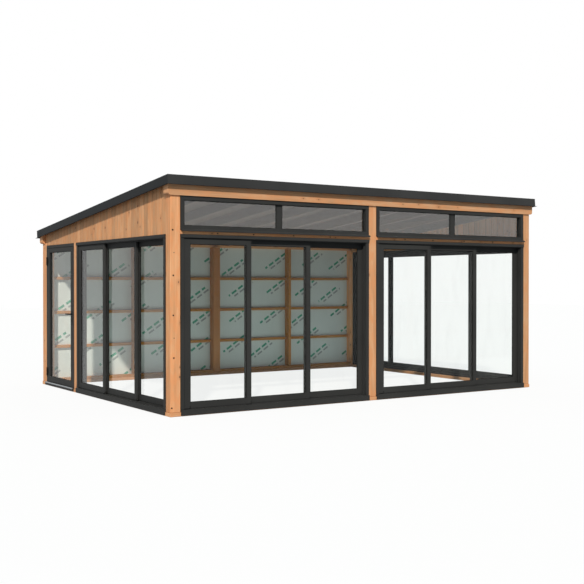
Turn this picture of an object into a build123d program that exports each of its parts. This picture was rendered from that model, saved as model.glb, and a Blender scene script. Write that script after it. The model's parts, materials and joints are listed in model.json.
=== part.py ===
"""Garden office pod: a timber post frame with a single-pitch roof, glazed on three sides."""
import math
import os

from build123d import *

os.makedirs("parts", exist_ok=True)

# Plan of the timber frame, over the outsides of the posts
wall_width = 5700.0
wall_depth = 4280.0
post_size = 125.0
back_post_depth = 165.0
post_round = 9.0
timber_ease = 3.0
hinged_bay = 1115.0

# Levels above the ground
sill_height = 45.0
sill_lip = 6.0
door_top = 2050.0
transom_height = 45.0
clerestory_height = 388.0
back_wall_rise = 29.0

# Roof, a flat pack tilted to the back
front_overhang = 54.0
back_overhang = 85.0
side_overhang = 60.0
deck_thickness = 20.0
covering_thickness = 4.0
edge_upstand = 12.0
fascia_height = 110.0
fascia_sheet = 3.0
fascia_return = 40.0
drip_lip = 18.0
rafter_width = 45.0
rafter_height = 120.0
rafter_spacing = 640.0

# Beams along the front and the back
front_beam_height = 184.0
back_beam_height = 169.0
beam_thickness = 120.0
beam_proud = 20.0
beam_end = 38.0
beam_end_round = 34.0

# Gable walls over the side doors
gable_thickness = 22.0
gable_recess = 8.0
header_gap = 12.0

# Back wall
back_cladding_thickness = 25.0
back_cladding_recess = 12.0
membrane_thickness = 3.0
stud_width = 48.0
sole_height = 40.0
nogging_height = 45.0
nogging_depth = 45.0
nogging_shares = (0.25, 0.5, 0.75)

# Clerestory windows over the front doors
clerestory_face = 48.0
clerestory_bottom_face = 55.0
clerestory_mullion = 82.0
mullion_set = 28.0
clerestory_depth = 70.0
clerestory_proud = 6.0
clerestory_glass_set = 42.0
flashing_reach = 40.0
flashing_drop = 12.0
flashing_rise = 17.0
flashing_sheet = 4.0

# Sliding door frames
jamb_face = 42.0
head_face = 42.0
frame_proud = 10.0
track_pitch = 40.0
track_margin = 7.5
track_height = 27.0
apron_sheet = 19.0
apron_bottom = 10.0
cap_proud = 8.0
cap_round = 6.0
rib_width = 6.0
rib_height = 5.0
fin_thickness = 2.0
fin_length = 12.0

# Sliding door leaves
profile_ease = 1.5
sash_thickness = 28.0
stile_width = 62.0
jamb_stile = 79.0
middle_leaf_extra = 50.0
top_rail_height = 62.0
bottom_rail_height = 68.0
glass_thickness = 8.0
running_gap = 5.0
meeting_gap = 6.0
joint_gap = 0.3
shoe_length = 70.0
shoe_width = 10.0
shoe_share = 0.16

# Hinged door
hinged_jamb = 42.0
hinged_frame_depth = 70.0
hinged_leaf_thickness = 50.0
hinged_stile = 80.0
hinged_top_rail = 60.0
hinged_bottom_rail = 77.0
stop_width = 15.0
threshold_height = 7.0
hinge_height = 120.0
hinge_level_shares = (0.075, 0.905)
knuckle_radius = 9.0
knuckle_gap = 1.0
pin_radius = 5.0
pin_clearance = 0.1
pin_out = 11.0
hinge_plate_width = 34.0
hinge_plate_thickness = 3.0
hinge_plate_set = 3.0

# Lever handle of the hinged door
lever_level = 1069.0
lever_length = 128.0
lever_height = 18.0
lever_thickness = 12.0
lever_round = 4.0
lever_reach = 46.0
lever_set = 41.0
spindle_radius = 5.0
neck_radius = 9.0
plate_width = 34.0
plate_height = 190.0
plate_thickness = 6.0
plate_rise_share = 0.26
cylinder_drop = 88.0
cylinder_radius = 9.0
cylinder_reach = 4.0

# Places that follow from the sizes above
clerestory_bottom = door_top + transom_height
front_post_top = clerestory_bottom + clerestory_height
back_post_top = door_top + back_wall_rise
roof_fall = front_post_top + front_beam_height - back_post_top - back_beam_height
slope = roof_fall / wall_depth
slope_cos = math.cos(math.atan(slope))
slope_sin = math.sin(math.atan(slope))
edge_top = deck_thickness + covering_thickness + edge_upstand
edge_drop = fascia_height - edge_top
front_reach = front_overhang + edge_drop * slope_sin + drip_lip * slope_cos
back_reach = back_overhang - edge_drop * slope_sin + drip_lip * slope_cos
left = -wall_width / 2
right = wall_width / 2
front = -(wall_depth + back_reach - front_reach) / 2
back = front + wall_depth
roof_front = front - front_overhang
roof_length = (wall_depth + front_overhang + back_overhang) / slope_cos
deck_front = front_post_top + front_beam_height + front_overhang * slope
roof_half = wall_width / 2 + side_overhang
beam_front_inside = front - beam_proud + beam_thickness
beam_back_inside = back + beam_proud - beam_thickness
leaf_bottom = sill_height + track_height + rib_height + running_gap
leaf_top = door_top - head_face - running_gap
front_bay = (wall_width - 3 * post_size) / 2
side_bay = wall_depth - post_size - back_post_depth
left_bay = side_bay - hinged_bay - post_size
back_inside = back - back_post_depth
membrane_inside = back - back_cladding_recess - back_cladding_thickness - membrane_thickness

# Each wall's plane: along the wall from its left seen from outside, up, and outward
front_left_wall = Plane(origin=(left + post_size, front, 0), x_dir=(1, 0, 0), z_dir=(0, -1, 0))
front_right_wall = Plane(origin=(post_size / 2, front, 0), x_dir=(1, 0, 0), z_dir=(0, -1, 0))
hinged_wall = Plane(origin=(left, back_inside, 0), x_dir=(0, -1, 0), z_dir=(-1, 0, 0))
left_wall = Plane(
    origin=(left, back_inside - hinged_bay - post_size, 0), x_dir=(0, -1, 0), z_dir=(-1, 0, 0)
)
right_wall = Plane(origin=(right, front + post_size, 0), x_dir=(0, 1, 0), z_dir=(1, 0, 0))
roof_plane = Plane(
    origin=(0, roof_front, deck_front), x_dir=(1, 0, 0), z_dir=(0, slope_sin, slope_cos)
)


def deck_under(y):
    """Height of the roof deck's underside over a line across the pod."""
    return deck_front - (y - roof_front) * slope


def save(piece, name):
    """Name a piece and write it out."""
    piece.label = name
    export_step(piece, "parts/" + name + ".step")


def box_between(low, high):
    """Square-edged block between two corners."""
    with BuildPart() as block:
        with BuildSketch(Plane.XY.offset(low[2])):
            with Locations(((low[0] + high[0]) / 2, (low[1] + high[1]) / 2)):
                Rectangle(high[0] - low[0], high[1] - low[1])
        extrude(amount=high[2] - low[2])
    return block.part


def timber(low, high):
    """Sawn timber between two corners, with its edges eased."""
    with BuildPart() as length:
        add(box_between(low, high))
        chamfer(length.edges(), length=timber_ease)
    return length.part


def post_between(low, high):
    """Upright post with its long edges rounded."""
    with BuildPart() as post:
        add(box_between(low, high))
        fillet(post.edges().filter_by(Axis.Z), radius=post_round)
    return post.part


def bar(wall, start, bottom, width, height, inward, depth):
    """Straight bar in a wall's plane, set inward from the wall's outer face."""
    with BuildPart() as piece:
        with BuildSketch(wall.offset(-inward)):
            with Locations((start + width / 2, bottom + height / 2)):
                Rectangle(width, height)
        extrude(amount=-depth)
    return piece.part


def profile(wall, start, bottom, width, height, inward, depth):
    """Metal profile in a wall's plane, with its edges eased."""
    with BuildPart() as piece:
        add(bar(wall, start, bottom, width, height, inward, depth))
        chamfer(piece.edges(), length=profile_ease)
    return piece.part


def section_bar(wall, start, length, points):
    """Bar along a wall from a section drawn inward and up."""
    section = Plane(
        origin=wall.origin + wall.x_dir * start, x_dir=wall.z_dir * -1, z_dir=wall.x_dir
    )
    with BuildPart() as piece:
        with BuildSketch(section):
            with BuildLine():
                Polyline(*points, close=True)
            make_face()
        extrude(amount=length)
    return piece.part


def track_centre(track):
    """Distance of a track's middle inward from the wall's outer face."""
    return track_margin + track_pitch / 2 + track * track_pitch - frame_proud


def sliding_frame(wall, bay, tracks):
    """Bottom track, head and jambs of a sliding door, with guide fins between the tracks."""
    depth = 2 * track_margin + tracks * track_pitch
    inner = depth - frame_proud
    track_top = sill_height + track_height
    head_bottom = door_top - head_face
    jamb_bottom = track_top + joint_gap
    jamb_height = head_bottom - joint_gap - jamb_bottom
    nose = sill_lip + apron_sheet
    cap_out = frame_proud + cap_proud
    run_start = jamb_face + fin_length + joint_gap
    run_length = bay - 2 * run_start
    fin_bottom = jamb_bottom + rib_height
    fin_height = jamb_height - 2 * rib_height
    with BuildPart() as frame:
        add(section_bar(wall, 0, bay, [
            (inner, sill_height), (inner, track_top), (-nose, track_top), (-nose, apron_bottom),
            (-sill_lip, apron_bottom), (-sill_lip, sill_height),
        ]))
        add(section_bar(wall, 0, bay, [
            (inner, head_bottom), (inner, door_top), (cap_round - cap_out, door_top),
            (-cap_out, door_top - cap_round), (-cap_out, head_bottom + cap_round),
            (cap_round - cap_out, head_bottom),
        ]))
        for start, fin_start in ((0, jamb_face), (bay - jamb_face, bay - jamb_face - fin_length)):
            add(profile(wall, start, jamb_bottom, jamb_face, jamb_height, -frame_proud, depth))
            for track in range(tracks - 1):
                fin_in = track_centre(track) + track_pitch / 2 - fin_thickness / 2
                add(bar(wall, fin_start, fin_bottom, fin_length, fin_height, fin_in, fin_thickness))
        for track in range(tracks):
            rib_in = track_centre(track) - rib_width / 2
            add(bar(wall, run_start, track_top, run_length, rib_height, rib_in, rib_width))
        for track in range(tracks - 1):
            fin_in = track_centre(track) + track_pitch / 2 - fin_thickness / 2
            add(bar(
                wall, run_start, head_bottom - fin_length, run_length, fin_length, fin_in, fin_thickness,
            ))
    return frame.part


def sash(wall, start, width, track, first_stile=stile_width):
    """Stiles and rails of a sliding leaf, with two running shoes under its bottom rail."""
    inward = track_centre(track) - sash_thickness / 2
    height = leaf_top - leaf_bottom
    rail_start = start + first_stile + joint_gap
    rail_length = width - first_stile - stile_width - 2 * joint_gap
    rails = ((leaf_bottom, bottom_rail_height), (leaf_top - top_rail_height, top_rail_height))
    shoe_in = track_centre(track) - shoe_width / 2
    shoe_drop = running_gap - joint_gap
    with BuildPart() as frame:
        for stile_start, stile in ((start, first_stile), (start + width - stile_width, stile_width)):
            add(profile(wall, stile_start, leaf_bottom, stile, height, inward, sash_thickness))
        for bottom, rail_height in rails:
            add(profile(wall, rail_start, bottom, rail_length, rail_height, inward, sash_thickness))
        for centre in (width * shoe_share, width * (1 - shoe_share)):
            shoe_start = start + centre - shoe_length / 2
            shoe_bottom = leaf_bottom - shoe_drop
            add(bar(wall, shoe_start, shoe_bottom, shoe_length, shoe_drop, shoe_in, shoe_width))
    return frame.part


def pane(wall, start, width, track, first_stile=stile_width):
    """Glass of a sliding leaf."""
    bottom = leaf_bottom + bottom_rail_height + joint_gap
    top = leaf_top - top_rail_height - joint_gap
    glass_start = start + first_stile + joint_gap
    glass_width = width - first_stile - stile_width - 2 * joint_gap
    inward = track_centre(track) - glass_thickness / 2
    return bar(wall, glass_start, bottom, glass_width, top - bottom, inward, glass_thickness)


# Sill plates on the ground
with BuildPart() as long_sills:
    for near, far in ((front - sill_lip, front + post_size), (back_inside, back + sill_lip)):
        add(timber((left - sill_lip, near, 0), (right + sill_lip, far, sill_height)))
save(long_sills.part, "long_sills")

with BuildPart() as side_sills:
    for near, far in ((left - sill_lip, left + post_size), (right - post_size, right + sill_lip)):
        add(timber((near, front + post_size, 0), (far, back_inside, sill_height)))
save(side_sills.part, "side_sills")

# Posts
with BuildPart() as front_posts:
    for x in (left, -post_size / 2, right - post_size):
        add(post_between((x, front, sill_height), (x + post_size, front + post_size, front_post_top)))
save(front_posts.part, "front_posts")

with BuildPart() as back_posts:
    for x in (left, right - post_size):
        add(post_between((x, back_inside, sill_height), (x + post_size, back, back_post_top)))
    add(post_between(
        (-post_size / 2, back_inside, sill_height), (post_size / 2, membrane_inside, back_post_top)
    ))
save(back_posts.part, "back_posts")

door_post_front = back_inside - hinged_bay - post_size
with BuildPart() as left_door_post:
    add(post_between(
        (left, door_post_front, sill_height), (left + post_size, door_post_front + post_size, door_top)
    ))
save(left_door_post.part, "left_door_post")

# Beams, level below and following the roof above, with rounded lower ends
with BuildPart() as front_beam:
    with BuildSketch(Plane.YZ):
        with BuildLine():
            Polyline(
                (front - beam_proud, front_post_top),
                (beam_front_inside, front_post_top),
                (beam_front_inside, deck_under(beam_front_inside)),
                (front - beam_proud, deck_under(front - beam_proud)),
                close=True,
            )
        make_face()
    extrude(amount=wall_width / 2 + beam_end, both=True)
    fillet(front_beam.edges().filter_by(Axis.Y).group_by(Axis.Z)[0], radius=beam_end_round)
save(front_beam.part, "front_beam")

with BuildPart() as back_beam:
    with BuildSketch(Plane.YZ):
        with BuildLine():
            Polyline(
                (beam_back_inside, back_post_top),
                (back + beam_proud, back_post_top),
                (back + beam_proud, deck_under(back + beam_proud)),
                (beam_back_inside, deck_under(beam_back_inside)),
                close=True,
            )
        make_face()
    extrude(amount=wall_width / 2 + beam_end, both=True)
    fillet(back_beam.edges().filter_by(Axis.Y).group_by(Axis.Z)[0], radius=beam_end_round)
save(back_beam.part, "back_beam")

# Timber rails between the front doors and the clerestory windows
with BuildPart() as transom_rails:
    for wall in (front_left_wall, front_right_wall):
        rail_left = wall.origin.X
        add(timber(
            (rail_left, front, door_top), (rail_left + front_bay, front + post_size, clerestory_bottom)
        ))
save(transom_rails.part, "transom_rails")

# Side walls over the doors
rafter_drop = rafter_height / slope_cos
header_top = deck_under(beam_back_inside) - rafter_drop - header_gap
header_inside = left + post_size
header_outside = left + gable_recess + gable_thickness
with BuildPart() as side_headers:
    add(timber(
        (header_outside, front + post_size, door_top),
        (header_inside, back_inside, header_top),
    ))
    mirror(about=Plane.YZ)
save(side_headers.part, "side_headers")

gable_outline = [
    (front + post_size, door_top),
    (back_inside, door_top),
    (back_inside, back_post_top),
    (beam_back_inside, back_post_top),
    (beam_back_inside, deck_under(beam_back_inside)),
    (beam_front_inside, deck_under(beam_front_inside)),
    (beam_front_inside, front_post_top),
    (front + post_size, front_post_top),
]
with BuildPart() as gable_cladding:
    with BuildSketch(Plane.YZ.offset(left + gable_recess)):
        with BuildLine():
            Polyline(*gable_outline, close=True)
        make_face()
    extrude(amount=gable_thickness)
    mirror(about=Plane.YZ)
save(gable_cladding.part, "gable_cladding")

# Back wall: cladding outside, membrane, then the studs and noggings that show inside
with BuildPart() as back_cladding:
    add(box_between(
        (left + post_size, membrane_inside + membrane_thickness, sill_height),
        (right - post_size, back - back_cladding_recess, back_post_top),
    ))
save(back_cladding.part, "back_cladding")

with BuildPart() as wind_membrane:
    add(box_between(
        (left + post_size, membrane_inside, sill_height),
        (right - post_size, membrane_inside + membrane_thickness, back_post_top),
    ))
save(wind_membrane.part, "wind_membrane")

sole_top = sill_height + sole_height
with BuildPart() as sole_plates:
    add(timber(
        (left + post_size, back_inside, sill_height), (-post_size / 2, membrane_inside, sole_top)
    ))
    mirror(about=Plane.YZ)
save(sole_plates.part, "sole_plates")

stud_centre = wall_width / 4
with BuildPart() as wall_studs:
    add(timber(
        (stud_centre - stud_width / 2, back_inside, sole_top),
        (stud_centre + stud_width / 2, membrane_inside, back_post_top),
    ))
    mirror(about=Plane.YZ)
save(wall_studs.part, "wall_studs")

with BuildPart() as wall_noggings:
    for share in nogging_shares:
        level = sill_height + (back_post_top - sill_height) * share
        for low_x, high_x in (
            (post_size / 2, stud_centre - stud_width / 2),
            (stud_centre + stud_width / 2, right - post_size),
        ):
            add(timber(
                (low_x, membrane_inside - nogging_depth, level - nogging_height / 2),
                (high_x, membrane_inside, level + nogging_height / 2),
            ))
    mirror(about=Plane.YZ)
save(wall_noggings.part, "wall_noggings")

# Rafters between the beams, cut plumb at their ends
rafter_reach = wall_width / 2 - gable_recess - gable_thickness - rafter_width / 2
rafter_spaces = max(1, round(2 * rafter_reach / rafter_spacing))
with BuildPart() as rafters:
    for index in range(rafter_spaces + 1):
        centre = -rafter_reach + 2 * rafter_reach * index / rafter_spaces
        with BuildSketch(Plane.YZ.offset(centre - rafter_width / 2)):
            with BuildLine():
                Polyline(
                    (beam_front_inside, deck_under(beam_front_inside)),
                    (beam_back_inside, deck_under(beam_back_inside)),
                    (beam_back_inside, deck_under(beam_back_inside) - rafter_drop),
                    (beam_front_inside, deck_under(beam_front_inside) - rafter_drop),
                    close=True,
                )
            make_face()
        extrude(amount=rafter_width)
save(rafters.part, "rafters")

# Roof deck and its covering, inside the metal edge
deck_width = 2 * roof_half - 2 * fascia_sheet
deck_length = roof_length - 2 * fascia_sheet
with BuildPart() as roof_deck:
    with BuildSketch(roof_plane):
        with Locations((0, roof_length / 2)):
            Rectangle(deck_width, deck_length)
    extrude(amount=deck_thickness)
save(roof_deck.part, "roof_deck")

with BuildPart() as roof_covering:
    with BuildSketch(roof_plane.offset(deck_thickness)):
        with Locations((0, roof_length / 2)):
            Rectangle(deck_width, deck_length)
    extrude(amount=covering_thickness)
save(roof_covering.part, "roof_covering")

# Metal roof edge: an upright face, a return over the top and a drip lip below
eaves_section = Plane(origin=roof_plane.origin, x_dir=roof_plane.y_dir, z_dir=roof_plane.x_dir)
with BuildPart() as eaves_fascias:
    for near, inward in ((0, 1), (roof_length, -1)):
        with BuildSketch(eaves_section):
            with BuildLine():
                Polyline(
                    (near, -edge_drop),
                    (near, edge_top),
                    (near + inward * fascia_return, edge_top),
                    (near + inward * fascia_return, edge_top - fascia_sheet),
                    (near + inward * fascia_sheet, edge_top - fascia_sheet),
                    (near + inward * fascia_sheet, -edge_drop),
                    close=True,
                )
            make_face()
        extrude(amount=roof_half, both=True)
        with BuildSketch(eaves_section):
            with Locations((near - inward * drip_lip / 2, fascia_sheet / 2 - edge_drop)):
                Rectangle(drip_lip, fascia_sheet)
        extrude(amount=roof_half + drip_lip, both=True)
save(eaves_fascias.part, "eaves_fascias")

verge_section = Plane(
    origin=roof_plane.origin + roof_plane.y_dir * fascia_sheet,
    x_dir=roof_plane.x_dir,
    z_dir=roof_plane.y_dir * -1,
)
return_section = Plane(
    origin=roof_plane.origin + roof_plane.y_dir * fascia_return,
    x_dir=roof_plane.x_dir,
    z_dir=roof_plane.y_dir * -1,
)
with BuildPart() as verge_fascias:
    with BuildSketch(verge_section):
        with BuildLine():
            Polyline(
                (roof_half, edge_top - fascia_sheet),
                (roof_half, fascia_sheet - edge_drop),
                (roof_half + drip_lip, fascia_sheet - edge_drop),
                (roof_half + drip_lip, -edge_drop),
                (roof_half - fascia_sheet, -edge_drop),
                (roof_half - fascia_sheet, edge_top - fascia_sheet),
                close=True,
            )
        make_face()
    extrude(amount=-deck_length)
    with BuildSketch(return_section):
        with Locations((roof_half - fascia_return / 2, edge_top - fascia_sheet / 2)):
            Rectangle(fascia_return, fascia_sheet)
    extrude(amount=2 * fascia_return - roof_length)
    mirror(about=Plane.YZ)
save(verge_fascias.part, "verge_fascias")

# Clerestory windows
post_bottom = clerestory_bottom + clerestory_bottom_face + joint_gap
post_height = front_post_top - clerestory_face - joint_gap - post_bottom
clerestory_inside = clerestory_depth - clerestory_proud
pane_width = (front_bay - 2 * clerestory_face - clerestory_mullion) / 2
with BuildPart() as clerestory_frames:
    for wall in (front_left_wall, front_right_wall):
        add(section_bar(wall, 0, front_bay, [
            (clerestory_inside, clerestory_bottom),
            (clerestory_inside, clerestory_bottom + clerestory_bottom_face),
            (-clerestory_proud, clerestory_bottom + clerestory_bottom_face),
            (-clerestory_proud, clerestory_bottom + flashing_rise),
            (-flashing_reach, clerestory_bottom),
            (-flashing_reach, clerestory_bottom - flashing_drop),
            (flashing_sheet - flashing_reach, clerestory_bottom - flashing_drop),
            (flashing_sheet - flashing_reach, clerestory_bottom),
        ]))
        add(profile(
            wall, 0, front_post_top - clerestory_face, front_bay, clerestory_face,
            -clerestory_proud, clerestory_depth,
        ))
        for start, width, set_back in (
            (0, clerestory_face, 0),
            (clerestory_face + pane_width, clerestory_mullion, mullion_set),
            (front_bay - clerestory_face, clerestory_face, 0),
        ):
            add(profile(
                wall, start, post_bottom, width, post_height,
                set_back - clerestory_proud, clerestory_depth - set_back,
            ))
save(clerestory_frames.part, "clerestory_frames")

with BuildPart() as clerestory_glass:
    for wall in (front_left_wall, front_right_wall):
        for start in (clerestory_face, clerestory_face + pane_width + clerestory_mullion):
            add(bar(
                wall, start + joint_gap, post_bottom, pane_width - 2 * joint_gap, post_height,
                clerestory_glass_set - clerestory_proud, glass_thickness,
            ))
save(clerestory_glass.part, "clerestory_glass")

# Sliding door frames
save(sliding_frame(front_left_wall, front_bay, 3), "front_left_door_frame")
save(sliding_frame(front_right_wall, front_bay, 3), "front_right_door_frame")
save(sliding_frame(left_wall, left_bay, 3), "left_door_frame")
save(sliding_frame(right_wall, side_bay, 2), "right_door_frame")

# Leaves of the three-leaf doors: the outermost is fixed, the other two slide over to it
leaf_start = jamb_face + running_gap
front_leaf = (front_bay - 2 * leaf_start + 2 * stile_width - middle_leaf_extra) / 3
left_leaf = (left_bay - 2 * leaf_start + 2 * stile_width - middle_leaf_extra) / 3
for door, wall, width in (
    ("front_left", front_left_wall, front_leaf),
    ("front_right", front_right_wall, front_leaf),
    ("left", left_wall, left_leaf),
):
    middle_width = width + middle_leaf_extra
    middle_start = leaf_start + width - stile_width
    inner_start = middle_start + middle_width - stile_width
    save(sash(wall, middle_start, middle_width, 1), door + "_middle_sash")
    save(pane(wall, middle_start, middle_width, 1), door + "_middle_glass")
    save(sash(wall, inner_start, width, 2), door + "_inner_sash")
    save(pane(wall, inner_start, width, 2), door + "_inner_glass")

# Right door: fixed leaves at both ends, the two between them slide apart
right_leaf = (side_bay - 2 * leaf_start + 2 * stile_width - meeting_gap) / 4
right_pitch = right_leaf - stile_width
right_starts = (
    leaf_start,
    leaf_start + right_pitch,
    side_bay / 2 + meeting_gap / 2,
    side_bay - leaf_start - right_leaf,
)
for index, place in ((1, "front"), (2, "rear")):
    save(sash(right_wall, right_starts[index], right_leaf, 1), "right_" + place + "_sash")
    save(pane(right_wall, right_starts[index], right_leaf, 1), "right_" + place + "_glass")

fixed_leaves = (
    (front_left_wall, leaf_start, front_leaf, jamb_stile),
    (front_right_wall, leaf_start, front_leaf, jamb_stile),
    (left_wall, leaf_start, left_leaf, jamb_stile),
    (right_wall, right_starts[0], right_leaf, stile_width),
    (right_wall, right_starts[3], right_leaf, stile_width),
)
with BuildPart() as fixed_sashes:
    for wall, start, width, first_stile in fixed_leaves:
        add(sash(wall, start, width, 0, first_stile))
save(fixed_sashes.part, "fixed_sashes")

with BuildPart() as fixed_glass:
    for wall, start, width, first_stile in fixed_leaves:
        add(pane(wall, start, width, 0, first_stile))
save(fixed_glass.part, "fixed_glass")

# Hinged door: frame with a stop behind the leaf, and a metal threshold
threshold_top = sill_height + threshold_height
hinged_leaf_bottom = threshold_top + running_gap
hinged_head_bottom = door_top - hinged_jamb
hinged_leaf_top = hinged_head_bottom - running_gap
stop_in = hinged_leaf_thickness + running_gap
stop_depth = hinged_frame_depth - stop_in
hinged_jamb_bottom = threshold_top + joint_gap
hinged_jamb_height = hinged_head_bottom - joint_gap - hinged_jamb_bottom
with BuildPart() as hinged_door_frame:
    add(profile(hinged_wall, 0, hinged_head_bottom, hinged_bay, hinged_jamb, 0, hinged_frame_depth))
    for start, stop_start in (
        (0, hinged_jamb),
        (hinged_bay - hinged_jamb, hinged_bay - hinged_jamb - stop_width),
    ):
        add(profile(
            hinged_wall, start, hinged_jamb_bottom, hinged_jamb, hinged_jamb_height, 0, hinged_frame_depth,
        ))
        add(bar(
            hinged_wall, stop_start, hinged_jamb_bottom, stop_width, hinged_jamb_height,
            stop_in, stop_depth - profile_ease,
        ))
save(hinged_door_frame.part, "hinged_door_frame")

with BuildPart() as door_threshold:
    add(section_bar(hinged_wall, 0, hinged_bay, [
        (hinged_frame_depth, sill_height), (hinged_frame_depth, threshold_top),
        (-sill_lip, threshold_top), (-sill_lip - apron_sheet, sill_height),
        (-sill_lip - apron_sheet, apron_bottom), (-sill_lip, apron_bottom), (-sill_lip, sill_height),
    ]))
save(door_threshold.part, "door_threshold")

hinged_leaf_start = hinged_jamb + running_gap
hinged_leaf_width = hinged_bay - 2 * hinged_leaf_start
hinged_leaf_height = hinged_leaf_top - hinged_leaf_bottom
hinged_rail_start = hinged_leaf_start + hinged_stile + joint_gap
hinged_rail_length = hinged_leaf_width - 2 * hinged_stile - 2 * joint_gap
lever_along = hinged_leaf_start + hinged_leaf_width - lever_set
with BuildPart() as hinged_door_sash:
    for start in (hinged_leaf_start, hinged_leaf_start + hinged_leaf_width - hinged_stile):
        add(profile(
            hinged_wall, start, hinged_leaf_bottom, hinged_stile, hinged_leaf_height,
            0, hinged_leaf_thickness,
        ))
    for bottom, height in (
        (hinged_leaf_bottom, hinged_bottom_rail),
        (hinged_leaf_top - hinged_top_rail, hinged_top_rail),
    ):
        add(profile(
            hinged_wall, hinged_rail_start, bottom, hinged_rail_length, height, 0, hinged_leaf_thickness,
        ))
    with BuildSketch(hinged_wall):
        with Locations((lever_along, lever_level)):
            Circle(spindle_radius + pin_clearance)
    extrude(amount=-hinged_leaf_thickness, mode=Mode.SUBTRACT)
save(hinged_door_sash.part, "hinged_door_sash")

hinged_glass_bottom = hinged_leaf_bottom + hinged_bottom_rail + joint_gap
hinged_glass_top = hinged_leaf_top - hinged_top_rail - joint_gap
with BuildPart() as hinged_door_glass:
    add(bar(
        hinged_wall, hinged_rail_start, hinged_glass_bottom, hinged_rail_length,
        hinged_glass_top - hinged_glass_bottom,
        hinged_leaf_thickness / 2 - glass_thickness / 2, glass_thickness,
    ))
save(hinged_door_glass.part, "hinged_door_glass")

# Hinges: a pin with two fixed knuckles on the frame, and one turning knuckle on the leaf
pin_along = hinged_leaf_start - running_gap / 2
knuckle_length = (hinge_height - 2 * knuckle_gap) / 3
hinge_levels = [
    hinged_leaf_bottom + hinged_leaf_height * share - hinge_height / 2 for share in hinge_level_shares
]


def round_bar(along, bottom, length, radius):
    """Upright round bar on the hinge line."""
    centre = hinged_wall.origin + hinged_wall.x_dir * along + hinged_wall.z_dir * pin_out
    with BuildPart() as piece:
        with BuildSketch(Plane(origin=(centre.X, centre.Y, bottom), z_dir=(0, 0, 1))):
            Circle(radius)
        extrude(amount=length)
    return piece.part


with BuildPart() as frame_hinges:
    for level in hinge_levels:
        add(round_bar(pin_along, level, hinge_height, pin_radius))
        for bottom in (level, level + hinge_height - knuckle_length):
            add(round_bar(pin_along, bottom, knuckle_length, knuckle_radius))
            add(bar(
                hinged_wall, pin_along - hinge_plate_width, bottom, hinge_plate_width, knuckle_length,
                -hinge_plate_set, hinge_plate_thickness,
            ))
save(frame_hinges.part, "frame_hinges")

with BuildPart() as leaf_hinges:
    for level in hinge_levels:
        bottom = level + knuckle_length + knuckle_gap
        add(round_bar(pin_along, bottom, knuckle_length, knuckle_radius))
        add(bar(
            hinged_wall, pin_along, bottom, hinge_plate_width, knuckle_length,
            -hinge_plate_set, hinge_plate_thickness,
        ))
        add(round_bar(pin_along, bottom, knuckle_length, pin_radius + pin_clearance), mode=Mode.SUBTRACT)
save(leaf_hinges.part, "leaf_hinges")

# Handle plates on both faces of the leaf, with the lock cylinder below the lever
plate_bottom = lever_level - plate_height * (1 - plate_rise_share)
with BuildPart() as handle_plates:
    for plate_in, cylinder_out in (
        (-plate_thickness, plate_thickness + cylinder_reach),
        (hinged_leaf_thickness, -hinged_leaf_thickness),
    ):
        add(bar(
            hinged_wall, lever_along - plate_width / 2, plate_bottom, plate_width, plate_height,
            plate_in, plate_thickness,
        ))
        with BuildSketch(hinged_wall.offset(cylinder_out)):
            with Locations((lever_along, lever_level - cylinder_drop)):
                Circle(cylinder_radius)
        extrude(amount=-plate_thickness - cylinder_reach)
    with BuildSketch(hinged_wall.offset(plate_thickness)):
        with Locations((lever_along, lever_level)):
            Circle(spindle_radius + pin_clearance)
    extrude(amount=-hinged_leaf_thickness - 2 * plate_thickness, mode=Mode.SUBTRACT)
save(handle_plates.part, "handle_plates")

# Lever: one spindle through the leaf with a grip at each end, pointing to the hinges
with BuildPart() as lever_handle:
    with BuildSketch(hinged_wall.offset(lever_reach)):
        with Locations((lever_along, lever_level)):
            Circle(spindle_radius)
    extrude(amount=-hinged_leaf_thickness - 2 * lever_reach)
    for neck_out in (lever_reach, -hinged_leaf_thickness - plate_thickness - joint_gap):
        with BuildSketch(hinged_wall.offset(neck_out)):
            with Locations((lever_along, lever_level)):
                Circle(neck_radius)
        extrude(amount=plate_thickness + joint_gap - lever_reach)
    for grip_in in (-lever_reach, hinged_leaf_thickness + lever_reach - lever_thickness):
        with BuildPart() as grip:
            add(bar(
                hinged_wall, lever_along - lever_length, lever_level - lever_height / 2,
                lever_length + neck_radius, lever_height, grip_in, lever_thickness,
            ))
            fillet(grip.edges(), radius=lever_round)
save(lever_handle.part, "lever_handle")
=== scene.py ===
"""The garden office pod's looks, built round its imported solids."""
import json
import math

import bmesh
import bpy
from mathutils import Matrix, Vector


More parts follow.
